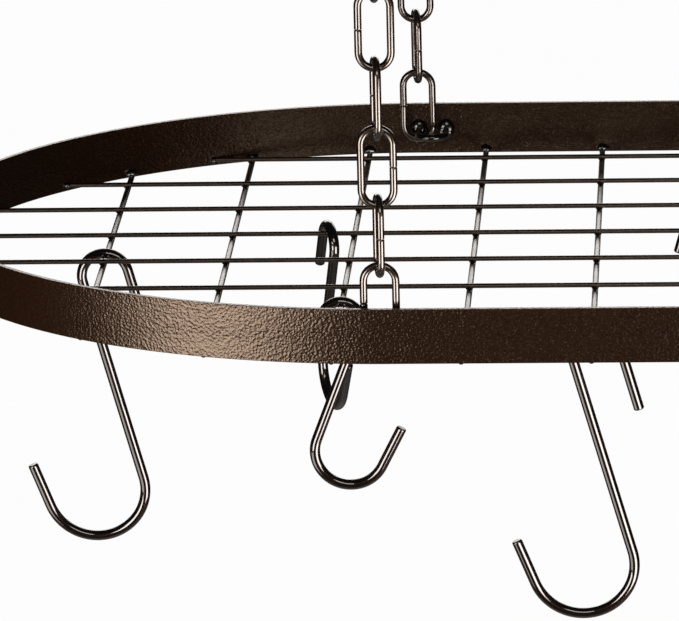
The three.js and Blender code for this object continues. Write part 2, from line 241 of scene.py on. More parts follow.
def clear_selection():
    """Leaves edit mode with nothing selected."""
    if bpy.context.mode != "OBJECT":
        bpy.ops.object.mode_set(mode="OBJECT")
    bpy.ops.object.select_all(action="DESELECT")


def pick(*pieces):
    """Selects only these pieces and makes the first one active."""
    clear_selection()
    for piece in pieces:
        piece.select_set(True)
    bpy.context.view_layer.objects.active = pieces[0]


def apply_place(piece):
    """Moves a piece's place, turn and scale into its mesh."""
    pick(piece)
    bpy.ops.object.transform_apply(location=True, rotation=True, scale=True)


def put(piece, place):
    """Moves a piece by a matrix that ends up in its mesh."""
    piece.matrix_world = place
    apply_place(piece)


def rename(piece, name):
    """Names a piece and its mesh."""
    piece.name = name
    piece.data.name = name


def add_shape(kind, name, **settings):
    """Adds a circle, cylinder, uv_sphere or plane, with its place and turn in its mesh."""
    clear_selection()
    getattr(bpy.ops.mesh, f"primitive_{kind}_add")(**settings)
    piece = bpy.context.object
    rename(piece, name)
    apply_place(piece)
    return piece


def edit(piece):
    """Enters edit mode on one piece, with all of it selected."""
    pick(piece)
    bpy.ops.object.mode_set(mode="EDIT")
    bpy.ops.mesh.select_all(action="SELECT")


def select_in_edit(piece, kind, test):
    """In edit mode, selects only the vertices or faces that pass a test."""
    bpy.ops.mesh.select_all(action="DESELECT")
    bpy.ops.mesh.select_mode(type={"verts": "VERT", "faces": "FACE"}[kind])
    mesh = bmesh.from_edit_mesh(piece.data)
    chosen = [element for element in getattr(mesh, kind) if test(element)]
    if not chosen:
        raise RuntimeError(f"{piece.name}: nothing to select among its {kind}")
    for element in chosen:
        element.select_set(True)
    mesh.select_flush_mode()
    bmesh.update_edit_mesh(piece.data)


def pull(step):
    """In edit mode, pulls new faces out of what is selected."""
    bpy.ops.mesh.extrude_region_move(TRANSFORM_OT_translate={"value": step})


def placed_copy(piece, name, place):
    """A copy of a piece with a mesh of its own, moved by a matrix."""
    pick(piece)
    bpy.ops.object.duplicate(linked=False)
    copy = bpy.context.object
    rename(copy, name)
    put(copy, place)
    return copy


def joined(pieces, name):
    """Several pieces as one."""
    pick(*pieces)
    if len(pieces) > 1:
        bpy.ops.object.join()
    piece = bpy.context.object
    rename(piece, name)
    return piece


def remove(*pieces):
    """Takes away models that were only there to be copied."""
    pick(*pieces)
    bpy.ops.object.delete()


def add_modifier(piece, kind, **settings):
    """Adds one modifier, sets it and applies it."""
    pick(piece)
    bpy.ops.object.modifier_add(type=kind)
    modifier = piece.modifiers[-1]
    for key, value in settings.items():
        setattr(modifier, key, value)
    bpy.ops.object.modifier_apply(modifier=modifier.name)


def bevel_edges(piece, width, segments, **settings):
    """Rounds the sharp edges of a piece."""
    settings.update(width=width, segments=segments, limit_method="ANGLE")
    add_modifier(piece, "BEVEL", angle_limit=math.radians(EDGE_DEGREES), **settings)


def smooth(piece, degrees=EDGE_DEGREES):
    """Smooth shading that keeps the edges sharper than this."""
    pick(piece)
    bpy.ops.object.shade_smooth_by_angle(angle=math.radians(degrees))


def face_outwards(piece):
    """Merges doubles and turns all faces outwards."""
    edit(piece)
    bpy.ops.mesh.remove_doubles(threshold=1e-6)
    bpy.ops.mesh.normals_make_consistent(inside=False)
    bpy.ops.object.mode_set(mode="OBJECT")


def paint(piece, make):
    """Gives a whole piece one finish, made the first time it is asked for."""
    name = make.__name__
    finish = bpy.data.materials.get(name) or make(name)
    piece.data.materials.clear()
    piece.data.materials.append(finish)


def finish_piece(piece, body, nodes):
    """Gives a painted piece its body and the nodes that it stands for."""
    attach(piece, body)
    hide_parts(*nodes)


def joint_place(name):
    """Where a joint of the frame sits."""
    joint = next(joint for joint in frame["joints"] if joint["name"] == name)
    return Vector(joint["pos_m"])


# ---- Rods ---------------------------------------------------------------


class RodBender:
    """Pulls a round face along straights and bends in the XZ plane.

    Heading 0 runs along +X and a quarter turn along +Z.
    """

    def __init__(self, name, diameter, sides, x, z, heading):
        self.x, self.z, self.heading = x, z, heading
        self.sides = sides
        self.piece = add_shape(
            "circle",
            name,
            vertices=sides,
            radius=diameter / 2,
            fill_type="NGON",
            location=(x, 0.0, z),
            rotation=(0.0, math.pi / 2 - heading, 0.0),
        )
        self.stations = [(x, z)]
        edit(self.piece)

    def straight(self, *distances):
        """Pulls the end face straight on, in one or more lengths."""
        for distance in distances:
            step = Vector((math.cos(self.heading), 0.0, math.sin(self.heading))) * distance
            pull(step)
            self.x += step.x
            self.z += step.z
            self.stations.append((self.x, self.z))
        return self

    def bend(self, radius, turn, steps):
        """Spins the end face round a bend; a positive turn bends to the left."""
        side = math.copysign(1.0, turn)
        centre_x = self.x - side * radius * math.sin(self.heading)
        centre_z = self.z + side * radius * math.cos(self.heading)
        centre = (centre_x, 0.0, centre_z)
        bpy.ops.mesh.spin(steps=steps, angle=turn, center=centre, axis=(0.0, 1.0, 0.0))
        start = self.heading
        for step in range(1, steps + 1):
            heading = start + turn * step / steps
            self.x = centre_x + side * radius * math.sin(heading)
            self.z = centre_z - side * radius * math.cos(heading)
            self.stations.append((self.x, self.z))
        self.heading = start + turn
        return self

    def finish(self, end_rounding=0.0, segments=2):
        """Rounds the cut ends, where asked for, and turns the faces outwards."""
        if end_rounding:
            select_in_edit(self.piece, "faces", lambda face: len(face.verts) == self.sides)
            bpy.ops.mesh.bevel(offset=end_rounding, segments=segments, affect="EDGES")
        face_outwards(self.piece)
        smooth(self.piece)
        return self.piece

    def balance_point(self):
        """Where a uniform rod on this route would balance."""
        total = x = z = 0.0
        for (x0, z0), (x1, z1) in zip(self.stations, self.stations[1:]):
            part = math.hypot(x1 - x0, z1 - z0)
            total += part
            x += part * (x0 + x1) / 2
            z += part * (z0 + z1) / 2
        return x / total, z / total


# ---- The band's outline -------------------------------------------------


def oval_point(at, inset):
    """A point of the band's outline, moved inwards square to the band."""
    sizes = bpy.context.scene.rack_band
    half_straight = sizes.length / 2 - sizes.end_reach
    side = -1.0 if math.cos(at) < 0.0 else 1.0
    end = Vector((sizes.end_reach * math.cos(at), sizes.width / 2 * math.sin(at)))
    outward = Vector((end.x / sizes.end_reach**2, end.y / (sizes.width / 2) ** 2)).normalized()
    end -= outward * inset
    return end + Vector((side * half_straight, 0.0))


def inner_face(distance, along):
    """How far out the band's inner face is, at a distance off the rack's middle.

    Also gives the face's inward direction there, in the quarter where both are positive.
    """
    sizes = bpy.context.scene.rack_band
    across = 1 - along
    points = [
        oval_point(math.pi / 2 * step / OUTLINE_STEPS, sizes.thickness)
        for step in range(OUTLINE_STEPS + 1)
    ]
    points[-1] = Vector((0.0, sizes.width / 2 - sizes.thickness))
    for start, stop in zip(points, points[1:]):
        if (start[across] - distance) * (stop[across] - distance) <= 0.0:
            share = (distance - start[across]) / ((stop[across] - start[across]) or 1.0)
            run = (stop - start).normalized()
            return start[along] + share * (stop[along] - start[along]), Vector((-run.y, run.x))
    raise RuntimeError(f"no inner face at {distance}")


# ---- Finishes -----------------------------------------------------------


class FinishNodes:
    """A material with one surface shader, to which texture nodes are added."""

    def __init__(self, name):
        self.material = bpy.data.materials.new(name)
        self.material.use_nodes = True
        self.tree = self.material.node_tree
        self.shader = self.tree.nodes["Principled BSDF"]
        self.place = self.tree.nodes.new("ShaderNodeTexCoord").outputs["Object"]

    def set(self, **values):
        """Sets the shader's own sockets."""
        for key, value in values.items():
            self.shader.inputs[key.replace("_", " ")].default_value = value

    def link(self, source, target):
        """Joins two sockets."""
        self.tree.links.new(source, target)

    def noise(self, scale, detail, roughness, stretch=(1.0, 1.0, 1.0)):
        """A noise pattern, in repeats a metre."""
        mapping = self.tree.nodes.new("ShaderNodeMapping")
        mapping.inputs["Scale"].default_value = stretch
        self.link(self.place, mapping.inputs["Vector"])
        node = self.tree.nodes.new("ShaderNodeTexNoise")
        node.inputs["Scale"].default_value = scale
        node.inputs["Detail"].default_value = detail
        node.inputs["Roughness"].default_value = roughness
        self.link(mapping.outputs["Vector"], node.inputs["Vector"])
        return node.outputs["Fac"]

    def cells(self, scale, smoothness):
        """Rounded pebbles, in repeats a metre."""
        node = self.tree.nodes.new("ShaderNodeTexVoronoi")
        node.feature = "SMOOTH_F1"
        node.inputs["Scale"].default_value = scale
        node.inputs["Smoothness"].default_value = smoothness
        self.link(self.place, node.inputs["Vector"])
        return node.outputs["Distance"]

    def ramp(self, source, low, high, first, second):
        """Two colours spread over part of a pattern's range."""
        node = self.tree.nodes.new("ShaderNodeValToRGB")
        node.color_ramp.elements[0].position = low
        node.color_ramp.elements[1].position = high
        node.color_ramp.elements[0].color = (*first, 1.0)
        node.color_ramp.elements[1].color = (*second, 1.0)
        self.link(source, node.inputs["Fac"])
        return node.outputs["Color"]

    def spread(self, source, low, high):
        """A pattern's range stretched between two numbers."""
        node = self.tree.nodes.new("ShaderNodeMapRange")
        node.inputs["To Min"].default_value = low
        node.inputs["To Max"].default_value = high
        self.link(source, node.inputs["Value"])
        return node.outputs["Result"]

    def add(self, first, second, share):
        """One pattern plus a share of another."""
        node = self.tree.nodes.new("ShaderNodeMath")
        node.operation = "MULTIPLY_ADD"
        self.link(second, node.inputs[0])
        node.inputs[1].default_value = share
        self.link(first, node.inputs[2])
        return node.outputs["Value"]

    def bump(self, height, distance):
        """Raises the surface by a pattern."""
        node = self.tree.nodes.new("ShaderNodeBump")
        node.inputs["Distance"].default_value = distance
        self.link(height, node.inputs["Height"])
        self.link(node.outputs["Normal"], self.shader.inputs["Normal"])


def powder_coat(name):
    """Dark bronze powder coat: a fine leathery pebble on a bar that isn't quite flat, its colour
    darker in the pebbles' hollows as painted shade.
    """
    colours = bpy.context.scene.rack_colours
    nodes = FinishNodes(name)
    pebble = nodes.cells(scale=600.0, smoothness=0.5)
    grain = nodes.noise(scale=1000.0, detail=2.0, roughness=0.5)
    swell = nodes.noise(scale=8.0, detail=1.0, roughness=0.4, stretch=(1.0, 1.0, 5.5))
    texture = nodes.add(pebble, grain, share=0.6)
    # The colour runs from painted shade in the pebbles' low hollows to the plain coat on their
    # tops, with some random grain mixed in.
    hollow, top = tuple(colours.coat_low), tuple(colours.coat)
    base = nodes.ramp(texture, low=0.35, high=0.95, first=hollow, second=top)
    nodes.link(base, nodes.shader.inputs["Base Color"])
    nodes.link(nodes.spread(grain, low=0.21, high=0.31), nodes.shader.inputs["Roughness"])
    nodes.set(IOR=1.77, Specular_Tint=(*colours.coat_sheen, 1.0))
    nodes.bump(nodes.add(texture, swell, share=3.0), distance=0.00022)
    return nodes.material


def lacquered(name, tint, under, gloss, index, flecks, height, variation=0.25):
    """Brown metal under a clear lacquer, with slight patches in colour and roughness.

    It takes the metal's roughness under the lacquer, the lacquer's own roughness and its
    refractive index, the flecks in a metre and their height, and how much darker patches are.
    """
    nodes = FinishNodes(name)
    bright = tuple(getattr(bpy.context.scene.rack_colours, tint))
    dark = tuple(value * (1.0 - variation) for value in bright)
    patches = nodes.noise(scale=60.0, detail=4.0, roughness=0.6)
    fine = nodes.noise(scale=flecks, detail=3.0, roughness=0.6)
    mottle = nodes.add(patches, fine, share=0.3)
    base = nodes.ramp(mottle, low=0.45, high=0.85, first=dark, second=bright)
    uneven = nodes.spread(patches, low=under * 0.8, high=under * 1.2)
    nodes.link(base, nodes.shader.inputs["Base Color"])
    nodes.link(uneven, nodes.shader.inputs["Roughness"])
    nodes.set(Metallic=1.0, Coat_Weight=1.0, Coat_Roughness=gloss, Coat_IOR=index)
    nodes.bump(fine, height)
    normal = nodes.shader.inputs["Normal"].links[0].from_socket
    nodes.link(normal, nodes.shader.inputs["Coat Normal"])
    return nodes.material


def satin_wire(name):
    """The shelf wires' satin lacquer."""
    return lacquered(name, "wire", under=0.36, gloss=0.30, index=1.45, flecks=700.0, height=1e-5)


def bronze_plating(name):
    """The chains' and ceiling hooks' glossy bronze plating."""
    return lacquered(name, "chain", under=0.32, gloss=0.13, index=2.0, flecks=500.0, height=2e-6)


def dark_polish(name):
    """The pot hooks' dark polish."""
    return lacquered(
        name, "hook", under=0.30, gloss=0.05, index=2.0, flecks=260.0, height=3e-6, variation=0.20
    )


def weld_metal(name):
    """The dark metal of the welds and eyes."""
    return lacquered(
        name, "weld", under=0.30, gloss=0.15, index=1.7, flecks=600.0, height=1.2e-5, variation=0.35
    )


# ---- Weld beads ---------------------------------------------------------


def weld_model(name, width, depth, height, segments, rings):
    """An ellipsoid bead to copy; its depth is how far it stands off a face, along Y."""
    bead = add_shape("uv_sphere", name, segments=segments, ring_count=rings, radius=1.0)
    edit(bead)
    bpy.ops.transform.resize(value=(width / 2, depth, height / 2))
    bpy.ops.object.mode_set(mode="OBJECT")
    return bead


def ripple(piece, strength):
    """Makes each bead swell unevenly in its own way, like molten metal."""
    textures = bpy.data.textures
    texture = textures.get("weld_ripple") or textures.new("weld_ripple", type="CLOUDS")
    texture.noise_scale = RIPPLE_SIZE
    texture.noise_depth = 1
    add_modifier(piece, "DISPLACE", texture=texture, texture_coords="LOCAL", strength=strength)


def cut_bead(bead, point, inward):
    """Cuts off what of a bead lies further than its sink behind the band's face."""
    edit(bead)
    start = point - inward * WELD_SINK
    bpy.ops.mesh.bisect(plane_co=start, plane_no=inward, use_fill=True, clear_inner=True)
    bpy.ops.object.mode_set(mode="OBJECT")


# ---- Pieces -------------------------------------------------------------


class RACK_OT_band(bpy.types.Operator):
    """Bend the flat bar into the oval band"""

    bl_idname = "rack.band"
    bl_label = "Oval Band"
    bl_options = {"REGISTER", "UNDO"}

    def execute(self, context):
        sizes = context.scene.rack_band
        band = self.make_wall(sizes)
        add_modifier(
            band,
            "SOLIDIFY",
            thickness=sizes.thickness,
            offset=-1.0,
            use_even_offset=True,
            use_quality_normals=True,
        )
        pick(band)
        bpy.ops.object.shade_smooth()
        bevel_edges(band, sizes.edge, segments=4, harden_normals=True)
        paint(band, powder_coat)
        finish_piece(band, "rack", ["oval_band"])
        return {"FINISHED"}

    def make_wall(self, sizes):
        """The bar's outer face: a circle stretched, parted in the middle and pulled up."""
        middle = (0.0, 0.0, BAND_LOW.z)
        wall = add_shape(
            "circle",
            "band",
            vertices=BAND_SIDES,
            radius=1.0,
            fill_type="NOTHING",
            location=middle,
            rotation=(0.0, 0.0, math.pi / BAND_SIDES),
        )
        edit(wall)
        stretch = (sizes.end_reach, sizes.width / 2, 1.0)
        bpy.ops.transform.resize(value=stretch, center_override=middle)
        half_straight = sizes.length / 2 - sizes.end_reach
        for side in (-1.0, 1.0):
            select_in_edit(wall, "verts", lambda vert: vert.co.x * side > 0.0)
            bpy.ops.transform.translate(value=(side * half_straight, 0.0, 0.0))
        bpy.ops.mesh.select_all(action="SELECT")
        pull((0.0, 0.0, sizes.height))
        face_outwards(wall)
        return wall


def grid_places():
    """The long wires' Y places from the rear, and the cross wires' X places from the left."""
    band = bpy.context.scene.rack_band
    grid = bpy.context.scene.rack_grid
    long_pitch = (band.width - 2 * grid.side_margin) / (grid.long_count - 1)
    cross_pitch = (band.length - 2 * grid.end_margin) / (grid.cross_count - 1)
    long_places = [((grid.long_count - 1) / 2 - i) * long_pitch for i in range(grid.long_count)]
    cross_places = [(i - (grid.cross_count - 1) / 2) * cross_pitch for i in range(grid.cross_count)]
    return long_places, cross_places


def grid_levels():
    """The cross wires' level and the long wires' level."""
    grid = bpy.context.scene.rack_grid
    cross_level = BAND_LOW.z + grid.rise
    return cross_level, cross_level + grid.cross_wire / 2 + grid.seat + grid.long_wire / 2


def wires_cross(x, y):
    """Whether a cross wire at x and a long wire at y both reach their crossing."""
    long_reach, _ = inner_face(abs(y), LENGTHWISE)
    cross_reach, _ = inner_face(abs(x), CROSSWISE)
    return abs(x) < long_reach - CROSSING_MARGIN and abs(y) < cross_reach - CROSSING_MARGIN


def end_weld(name, bead, point, inward):
    """A weld at a wire's end; inward is the face's direction in the positive quarter."""
    mirror = Vector((math.copysign(1.0, point.x), math.copysign(1.0, point.y)))
    facing = Vector((inward.x * mirror.x, inward.y * mirror.y, 0.0))
    turn = Euler((0.0, 0.0, math.atan2(facing.y, facing.x) + math.pi / 2))
    weld = placed_copy(bead, name, Matrix.LocRotScale(point, turn, None))
    ripple(weld, WIRE_WELD_RIPPLE)
    cut_bead(weld, point, facing)
    paint(weld, weld_metal)
    return weld


def wire_with_welds(name, along, place, diameter, level, bead, lift, crossings):
    """A straight wire with a weld at each end and a fillet at each crossing."""
    reach, inward = inner_face(abs(place), along)
    middle = Vector((0.0, 0.0, level))
    middle[1 - along] = place
    turn = (0.0, math.pi / 2, 0.0) if along == LENGTHWISE else (math.pi / 2, 0.0, 0.0)
    wire = add_shape(
        "cylinder",
        name,
        vertices=WIRE_SIDES,
        radius=diameter / 2,
        depth=2 * reach,
        location=middle,
        rotation=turn,
    )
    paint(wire, satin_wire)
    smooth(wire)
    trims = []
    for end in (-1.0, 1.0):
        point = middle.copy()
        point[along] = end * reach
        point.z += lift
        trims.append(end_weld(f"{name}_weld", bead, point, inward))
    for point, fillet in crossings:
        copy = placed_copy(fillet, f"{name}_fillet", Matrix.Translation(point))
        paint(copy, satin_wire)
        trims.append(copy)
    welds = joined(trims, f"{name}_welds")
    smooth(welds, degrees=50.0)
    return joined([wire, welds], name)


class RACK_OT_long_wires(bpy.types.Operator):
    """Lay the long wires on the cross wires and weld them"""

    bl_idname = "rack.long_wires"
    bl_label = "Long Wires"
    bl_options = {"REGISTER", "UNDO"}

    def execute(self, context):
        grid = context.scene.rack_grid
        long_places, cross_places = grid_places()
        cross_level, long_level = grid_levels()
        shape = (grid.long_bead, grid.long_bead_depth, grid.long_bead_height)
        bead = weld_model("long_weld", *shape, segments=20, rings=12)
        shape = (grid.long_wire * share for share in FILLET_SHAPE)
        fillet = weld_model("fillet", *shape, segments=10, rings=6)
        seam = cross_level + grid.cross_wire / 2 + grid.seat / 2
        for index, place in enumerate(long_places):
            name = f"long_wire_{index + 1}"
            crossings = [
                (Vector((x, place, seam)), fillet) for x in cross_places if wires_cross(x, place)
            ]
            wire = wire_with_welds(
                f"{name}_shelf", LENGTHWISE, place, grid.long_wire, long_level, bead, 0.0, crossings
            )
            finish_piece(wire, "rack", [name])
        remove(bead, fillet)
        return {"FINISHED"}


class RACK_OT_cross_wires(bpy.types.Operator):
    """Weld the cross wires to the band's bottom edge"""

    bl_idname = "rack.cross_wires"
    bl_label = "Cross Wires"
    bl_options = {"REGISTER", "UNDO"}

    def execute(self, context):
        grid = context.scene.rack_grid
        _, cross_places = grid_places()
        cross_level, _ = grid_levels()
        shape = (grid.cross_bead, grid.cross_bead_depth, grid.cross_bead_height)
        bead = weld_model("cross_weld", *shape, segments=24, rings=14)
        lift = grid.cross_bead_lift
        for index, place in enumerate(cross_places):
            name = f"cross_wire_{index + 1}"
            wire = wire_with_welds(
                f"{name}_shelf", CROSSWISE, place, grid.cross_wire, cross_level, bead, lift, []
            )
            finish_piece(wire, "rack", [name])
        remove(bead)
        return {"FINISHED"}


class RACK_OT_chains(bpy.types.Operator):
    """Bend one open link and hang the four chains with its copies"""

    bl_idname = "rack.chains"
    bl_label = "Chains"
    bl_options = {"REGISTER", "UNDO"}

    def execute(self, context):
        sizes = context.scene.rack_chain
        bend = (sizes.link_width - sizes.link_wire) / 2
        leg = sizes.link_length - sizes.link_width
        half_leg = (leg - sizes.butt_gap) / 2
        model = (
            RodBender("link_model", sizes.link_wire, ROD_SIDES, -bend, sizes.butt_gap / 2, UP)
            .straight(END_LOOP, half_leg - END_LOOP)
            .bend(bend, -math.pi, steps=16)
            .straight(leg)
            .bend(bend, -math.pi, steps=16)
            .straight(half_leg - END_LOOP, END_LOOP)
            .finish(LINK_ROUNDING)
        )
        paint(model, bronze_plating)
        for side in SIDES:
            rack_side = -1.0 if side.startswith("front") else 1.0
            for index in range(sizes.links):
                name = f"link_{side}_{index + 1}"
                low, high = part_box(name)
                # Every other pair of links has its butt joints on the other side.
                turn = (index % 2) * sizes.link_turn + (index // 2 % 2) * math.pi
                place = (
                    Matrix.Translation((low + high) / 2)
                    @ Matrix.Rotation(rack_side * sizes.lean, 4, "X")
                    @ Matrix.Rotation(turn, 4, "Z")
                )
                link = placed_copy(model, f"{name}_plated", place)
                finish_piece(link, f"chain_{side}", [name])
        remove(model)
        return {"FINISHED"}


class RACK_OT_eyes(bpy.types.Operator):
    """Weld the U-shaped eyes inside the band"""

    bl_idname = "rack.eyes"
    bl_label = "Chain Eyes"
    bl_options = {"REGISTER", "UNDO"}

    def execute(self, context):
        sizes = context.scene.rack_chain
        rod = (
            RodBender("eye_rod", sizes.eye_rod, ROD_SIDES, 0.0, 0.0, DOWN)
            .straight(sizes.eye_leg)
            .bend(sizes.eye_pitch / 2, math.pi, steps=16)
            .straight(sizes.eye_leg)
            .finish()
        )
        put(rod, Matrix.Rotation(-math.pi / 2, 4, "X"))
        shape = (sizes.eye_bead, sizes.eye_bead_depth, sizes.eye_bead_height)
        bead = weld_model("eye_weld", *shape, segments=28, rings=16)
        for model in (rod, bead):
            paint(model, weld_metal)
        for side in SIDES:
            eye = self.make_eye(context, side, rod, bead)
            finish_piece(eye, "rack", [f"chain_eye_{side}"])
        remove(rod, bead)
        return {"FINISHED"}

    def make_eye(self, context, side, rod, bead):
        """One eye: its rod, and a weld round each foot."""
        sizes = context.scene.rack_chain
        band = context.scene.rack_band
        rack_side = -1.0 if side.startswith("front") else 1.0
        end_side = -1.0 if side.endswith("left") else 1.0
        turn = Euler((
            0.0,
            math.pi if end_side * rack_side > 0 else 0.0,
            math.pi if rack_side < 0 else 0.0,
        ))
        face = band.width / 2 - band.thickness
        eye_place = sizes.front_eye if rack_side < 0 else sizes.rear_eye
        spot = Vector((end_side * eye_place, rack_side * face, BAND_LOW.z + sizes.eye_rise))
        place = Matrix.LocRotScale(spot, turn, None)
        parts = [placed_copy(rod, f"eye_rod_{side}", place)]
        for foot in (0.0, sizes.eye_pitch):
            foot_place = place @ Matrix.Translation((foot, 0.0, 0.0))
            weld = placed_copy(bead, f"eye_weld_{side}", foot_place)
            ripple(weld, EYE_WELD_RIPPLE)
            cut_bead(weld, spot, Vector((0.0, -rack_side, 0.0)))
            smooth(weld, degrees=50.0)
            parts.append(weld)
        return joined(parts, f"eye_{side}_welded")


class RACK_OT_ceiling_hooks(bpy.types.Operator):
    """Make the screw hooks in the ceiling"""

    bl_idname = "rack.ceiling_hooks"
    bl_label = "Ceiling Hooks"
    bl_options = {"REGISTER", "UNDO"}

    def execute(self, context):
        sizes = context.scene.rack_ceiling_hook
        parts = [
            self.make_rod(sizes),
            self.make_shoulder(sizes),
            self.make_screw(sizes),
            self.make_thread(sizes),
        ]
        model = joined(parts, "ceiling_hook_model")
        paint(model, bronze_plating)
        for side in SIDES:
            name = f"ceiling_hook_{side}"
            low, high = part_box(name)
            spot = Vector((joint_place(f"{side}_chain_sway").x, (low.y + high.y) / 2, 0.0))
            hook = placed_copy(model, f"{name}_plated", Matrix.Translation(spot))
            finish_piece(hook, "ceiling_hooks", [name])
        remove(model)
        return {"FINISHED"}

    def make_rod(self, sizes):
        """The shank, neck and bowl, from inside the shoulder down."""
        shoulder_middle = -sizes.shoulder_thickness / 2
        neck_angle = math.acos(sizes.neck / (sizes.neck + sizes.bowl))
        sweep = neck_angle + 1.5 * math.pi - sizes.mouth
        return (
            RodBender("hook_rod", sizes.rod, ROD_SIDES, 0.0, shoulder_middle, DOWN)
            .straight(sizes.shank - shoulder_middle)
            .bend(sizes.neck, neck_angle, steps=8)
            .bend(sizes.bowl, -sweep, steps=36)
            .finish(CEILING_HOOK_ROUNDING)
        )

    def make_shoulder(self, sizes):
        """The round shoulder under the ceiling."""
        shoulder = add_shape(
            "cylinder",
            "hook_shoulder",
            vertices=48,
            radius=sizes.shoulder / 2,
            depth=sizes.shoulder_thickness,
            location=(0.0, 0.0, -sizes.shoulder_thickness / 2),
        )
        edit(shoulder)
        select_in_edit(shoulder, "faces", lambda face: face.normal.z < -0.9)
        bpy.ops.mesh.inset(thickness=SHOULDER_INSET)
        bevel_edges(shoulder, CEILING_HOOK_ROUNDING, segments=3)
        smooth(shoulder, degrees=35.0)
        return shoulder

    def make_screw(self, sizes):
        """The screw's core and its point."""
        shoulder_middle = -sizes.shoulder_thickness / 2
        screw = add_shape(
            "circle",
            "hook_screw",
            vertices=32,
            radius=sizes.rod / 2 - sizes.thread_depth,
            fill_type="NGON",
            location=(0.0, 0.0, shoulder_middle),
        )
        edit(screw)
        core_length = sizes.screw - sizes.point
        for rise in (core_length - shoulder_middle, sizes.point):
            pull((0.0, 0.0, rise))
        bpy.ops.transform.resize(value=(SCREW_TIP, SCREW_TIP, 1.0))
        face_outwards(screw)
        smooth(screw)
        return screw

    def make_thread(self, sizes):
        """A V-shaped ridge wound up the screw and closed at its ends."""
        ridge = add_shape("circle", "hook_thread", vertices=3, radius=1.0, fill_type="NGON")
        root = sizes.rod / 2 - sizes.thread_depth - THREAD_ROOT
        half_foot = sizes.thread_pitch * THREAD_FOOT
        corners = ((root, 0.0, -half_foot), (root, 0.0, half_foot), (sizes.rod / 2, 0.0, 0.0))
        for vert, corner in zip(ridge.data.vertices, corners):
            vert.co = Vector(corner) + Vector((0.0, 0.0, THREAD_START))
        add_modifier(
            ridge,
            "SCREW",
            axis="Z",
            angle=2 * math.pi,
            screw_offset=sizes.thread_pitch,
            iterations=int((sizes.screw - sizes.point - THREAD_START) / sizes.thread_pitch),
            steps=24,
            render_steps=24,
            use_merge_vertices=False,
        )
        face_outwards(ridge)
        smooth(ridge, degrees=30.0)
        return ridge


def pot_hook_model(name, rod, top, bottom, shank, free, tip, opening):
    """An S-hook in balance, with its top bend round the origin."""
    bender = (
        RodBender(name, rod, POT_HOOK_SIDES, top, -free, UP)
        .straight(END_LOOP, free - END_LOOP)
        .bend(top, math.pi, steps=32)
        .straight(shank)
        .bend(bottom, -math.pi + opening, steps=44)
        .straight(tip - END_LOOP, END_LOOP)
    )
    x, z = bender.balance_point()
    piece = bender.finish(POT_HOOK_ROUNDING, segments=3)
    put(piece, Matrix.Rotation(math.atan2(x, -z), 4, "Y"))
    return piece


class RACK_OT_pot_hooks(bpy.types.Operator):
    """Bend the two S-hooks and hang their copies on the wires"""

    bl_idname = "rack.pot_hooks"
    bl_label = "Pot Hooks"
    bl_options = {"REGISTER", "UNDO"}

    def execute(self, context):
        sizes = context.scene.rack_pot_hook
        grid = context.scene.rack_grid
        parts = ("top", "bottom", "shank", "free", "tip")
        models = {
            size: pot_hook_model(
                f"{size}_hook_model",
                sizes.rod,
                *(getattr(sizes, f"{size}_{part}") for part in parts),
                sizes.tip_opening,
            )
            for size in ("large", "small")
        }
        kinds = (
            ("large", "end", grid.cross_wire, 0.0, sizes.end_lean),
            ("large", "middle", grid.cross_wire, 0.0, 0.0),
            ("small", "front", grid.cross_wire, math.pi, sizes.front_lean),
            ("small", "side", grid.long_wire, math.pi / 2 + sizes.side_twist, 0.0),
        )
        for model in models.values():
            paint(model, dark_polish)
        for half, half_turn in (("left", 0.0), ("right", math.pi)):
            for size, spot, wire, turn, lean in kinds:
                name = f"{size}_hook_{half}_{spot}"
                bend_inside = getattr(sizes, f"{size}_top") - sizes.rod / 2
                drop = Vector((0.0, 0.0, wire / 2 + sizes.seat - bend_inside))
                place = (
                    Matrix.Translation(joint_place(f"{name}_swing") + drop)
                    @ Matrix.Rotation(half_turn + turn, 4, "Z")
                    @ Matrix.Rotation(lean, 4, "Y")
                )
                hook = placed_copy(models[size], f"{name}_polished", place)
                finish_piece(hook, name, [name])
        remove(*models.values())
        return {"FINISHED"}


# ---- Stage --------------------------------------------------------------

CAMERA_PLACE = Vector((0.02915, -3.5757, BAND_LOW.z + 1.09126))
CAMERA_LENS = 315.1
CAMERA_SENSOR = 36.0
CAMERA_PITCH = math.radians(17.5)
CAMERA_YAW = math.radians(-3.6984)
CAMERA_ROLL = math.radians(1.5252)
FLOOR_LEVEL = -2.4
FLOOR_SIZE = 80.0
FLOOR_ROUGHNESS = 0.9
FLOOR_GLOW = 0.98  # how much of the floor's look to the camera is plain white
BACKDROP_START = 0.90  # the Y of a direction where the white backdrop starts
BACKDROP_FULL = 0.96
DIM = (0.02, 0.02, 0.02, 1.0)
WHITE = (1.0, 1.0, 1.0, 1.0)
SOFTBOX_TARGET = Vector((-0.1, 0.0, -0.3))

# Softboxes: name, azimuth to the right of the rack's front, elevation, distance, width,
# height, radiance, and whether the band is left out of its light.
SOFTBOXES = (
    ("softbox_left", -37.0, -3.0, 1.8, 0.80, 0.98, 8.0, False),
    ("softbox_low_left", -52.0, -29.0, 1.9, 1.30, 0.60, 2.4, True),
    ("softbox_right", 38.0, -18.0, 1.3, 0.72, 0.90, 9.0, True),
    ("softbox_fill", 22.0, -16.0, 1.9, 0.40, 0.90, 1.5, False),
    ("softbox_front", 6.0, 30.0, 1.6, 0.90, 0.40, 3.5, False),
    ("softbox_back", 180.0, 17.5, 2.2, 2.6, 0.70, 2.2, False),
)
SOFTBOX_COLOUR = (1.0, 0.96, 0.92)


def clamped(tree, operation, first, second):
    """A sum or product of two sockets, kept between 0 and 1."""
    node = tree.nodes.new("ShaderNodeMath")
    node.operation = operation
    node.use_clamp = True
    tree.links.new(first, node.inputs[0])
    tree.links.new(second, node.inputs[1])
    return node.outputs["Value"]


